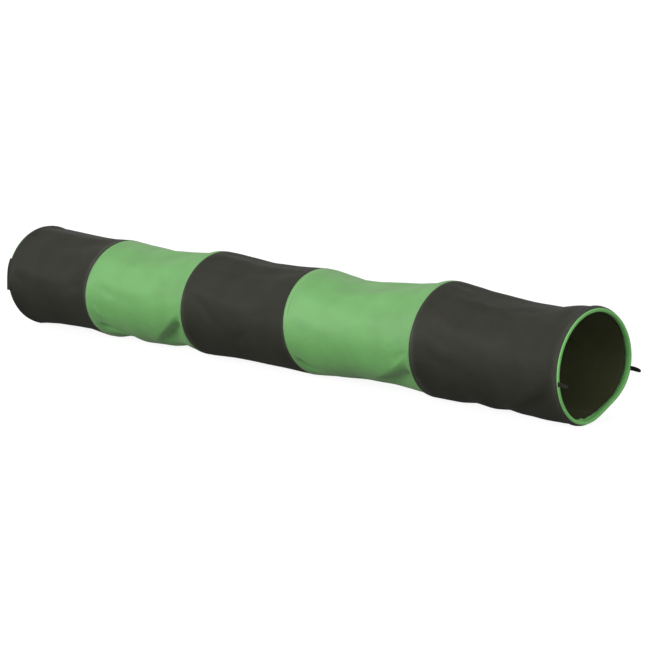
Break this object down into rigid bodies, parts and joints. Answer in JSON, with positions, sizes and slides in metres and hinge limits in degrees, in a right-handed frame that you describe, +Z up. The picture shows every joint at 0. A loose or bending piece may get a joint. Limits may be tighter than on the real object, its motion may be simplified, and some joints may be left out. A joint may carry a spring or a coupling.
{
  "type": "agility tunnel",
  "caption": "Fabric play tunnel for small pets: sewn panels over spring-wire hoops, with bound open mouths, elastic loops and closing straps. It folds flat along its length.",
  "frame": {"origin": "middle of the length and of the width, on the surface that the tunnel lies on", "axes": "+X along the tunnel from the far mouth to the near mouth, which has the elastic loops; +Z up"},
  "size_m": [1.3124, 0.1836, 0.1841],
  "materials": {
    "charcoal_fabric": "matte woven polyester, charcoal",
    "green_fabric": "matte woven polyester, mid green",
    "green_binding": "folded binding tape, bright green",
    "seam_tape": "black woven tape",
    "spring_steel": "bright drawn spring wire",
    "sleeve_metal": "crimped tube",
    "black_elastic": "braided elastic cord",
    "black_webbing": "flat woven webbing"
  },
  "bodies": {
    "far_mouth": {"mouth_binding_far": "green_binding", "hoop_1": "spring_steel", "hoop_sleeve_1": "sleeve_metal", "panel_1_charcoal": "charcoal_fabric"},
    "seam_1": {"hoop_2": "spring_steel", "hoop_sleeve_2": "sleeve_metal", "seam_tape_1": "seam_tape"},
    "seam_2": {"hoop_3": "spring_steel", "hoop_sleeve_3": "sleeve_metal", "seam_tape_2": "seam_tape", "panel_2_green": "green_fabric"},
    "seam_3": {"hoop_4": "spring_steel", "hoop_sleeve_4": "sleeve_metal", "seam_tape_3": "seam_tape", "panel_3_charcoal": "charcoal_fabric"},
    "seam_4": {"hoop_5": "spring_steel", "hoop_sleeve_5": "sleeve_metal", "seam_tape_4": "seam_tape", "panel_4_green": "green_fabric"},
    "near_mouth": {"hoop_6": "spring_steel", "hoop_sleeve_6": "sleeve_metal", "mouth_binding_near": "green_binding", "panel_5_charcoal": "charcoal_fabric"},
    "loop_left": {"near_loop_left": "black_elastic"},
    "loop_right": {"near_loop_right": "black_elastic"},
    "strap_left": {"closing_strap_left": "black_webbing"},
    "strap_right": {"closing_strap_right": "black_webbing"}
  },
  "joints": [
    {"name": "fold_1", "type": "slide", "parent": "far_mouth", "child": "seam_1", "axis": [-1, 0, 0], "range_m": [0, 0.1993], "deforming": ["panel_1_charcoal"]},
    {"name": "fold_2", "type": "slide", "parent": "seam_1", "child": "seam_2", "axis": [-1, 0, 0], "range_m": [0, 0.242], "deforming": ["panel_2_green"]},
    {"name": "fold_3", "type": "slide", "parent": "seam_2", "child": "seam_3", "axis": [-1, 0, 0], "range_m": [0, 0.237], "deforming": ["panel_3_charcoal"]},
    {"name": "fold_4", "type": "slide", "parent": "seam_3", "child": "seam_4", "axis": [-1, 0, 0], "range_m": [0, 0.265], "deforming": ["panel_4_green"]},
    {"name": "fold_5", "type": "slide", "parent": "seam_4", "child": "near_mouth", "axis": [-1, 0, 0], "range_m": [0, 0.2593], "deforming": ["panel_5_charcoal"]},
    {"name": "loop_bend_left", "type": "hinge", "parent": "near_mouth", "child": "loop_left", "pos_m": [0.6383, -0.08483, 0.07307], "axis": [0, 0.1219, -0.9925], "range_deg": [-80, 80], "stiffness_Nm_per_rad": 0.002},
    {"name": "loop_bend_right", "type": "hinge", "parent": "near_mouth", "child": "loop_right", "pos_m": [0.6383, 0.08837, 0.07337], "axis": [0, 0.1219, 0.9925], "range_deg": [-80, 80], "stiffness_Nm_per_rad": 0.002},
    {"name": "strap_swing_left", "type": "hinge", "parent": "far_mouth", "child": "strap_left", "pos_m": [-0.65125, -0.08266, 0.12764], "axis": [-1, 0, 0], "range_deg": [0, 150]},
    {"name": "strap_swing_right", "type": "hinge", "parent": "far_mouth", "child": "strap_right", "pos_m": [-0.65125, 0.08266, 0.12764], "axis": [1, 0, 0], "range_deg": [0, 150]}
  ],
  "couplings": [
    {"joint": "fold_2", "follows": "fold_1", "ratio": 1.214},
    {"joint": "fold_3", "follows": "fold_1", "ratio": 1.189},
    {"joint": "fold_4", "follows": "fold_1", "ratio": 1.329},
    {"joint": "fold_5", "follows": "fold_1", "ratio": 1.301}
  ]
}
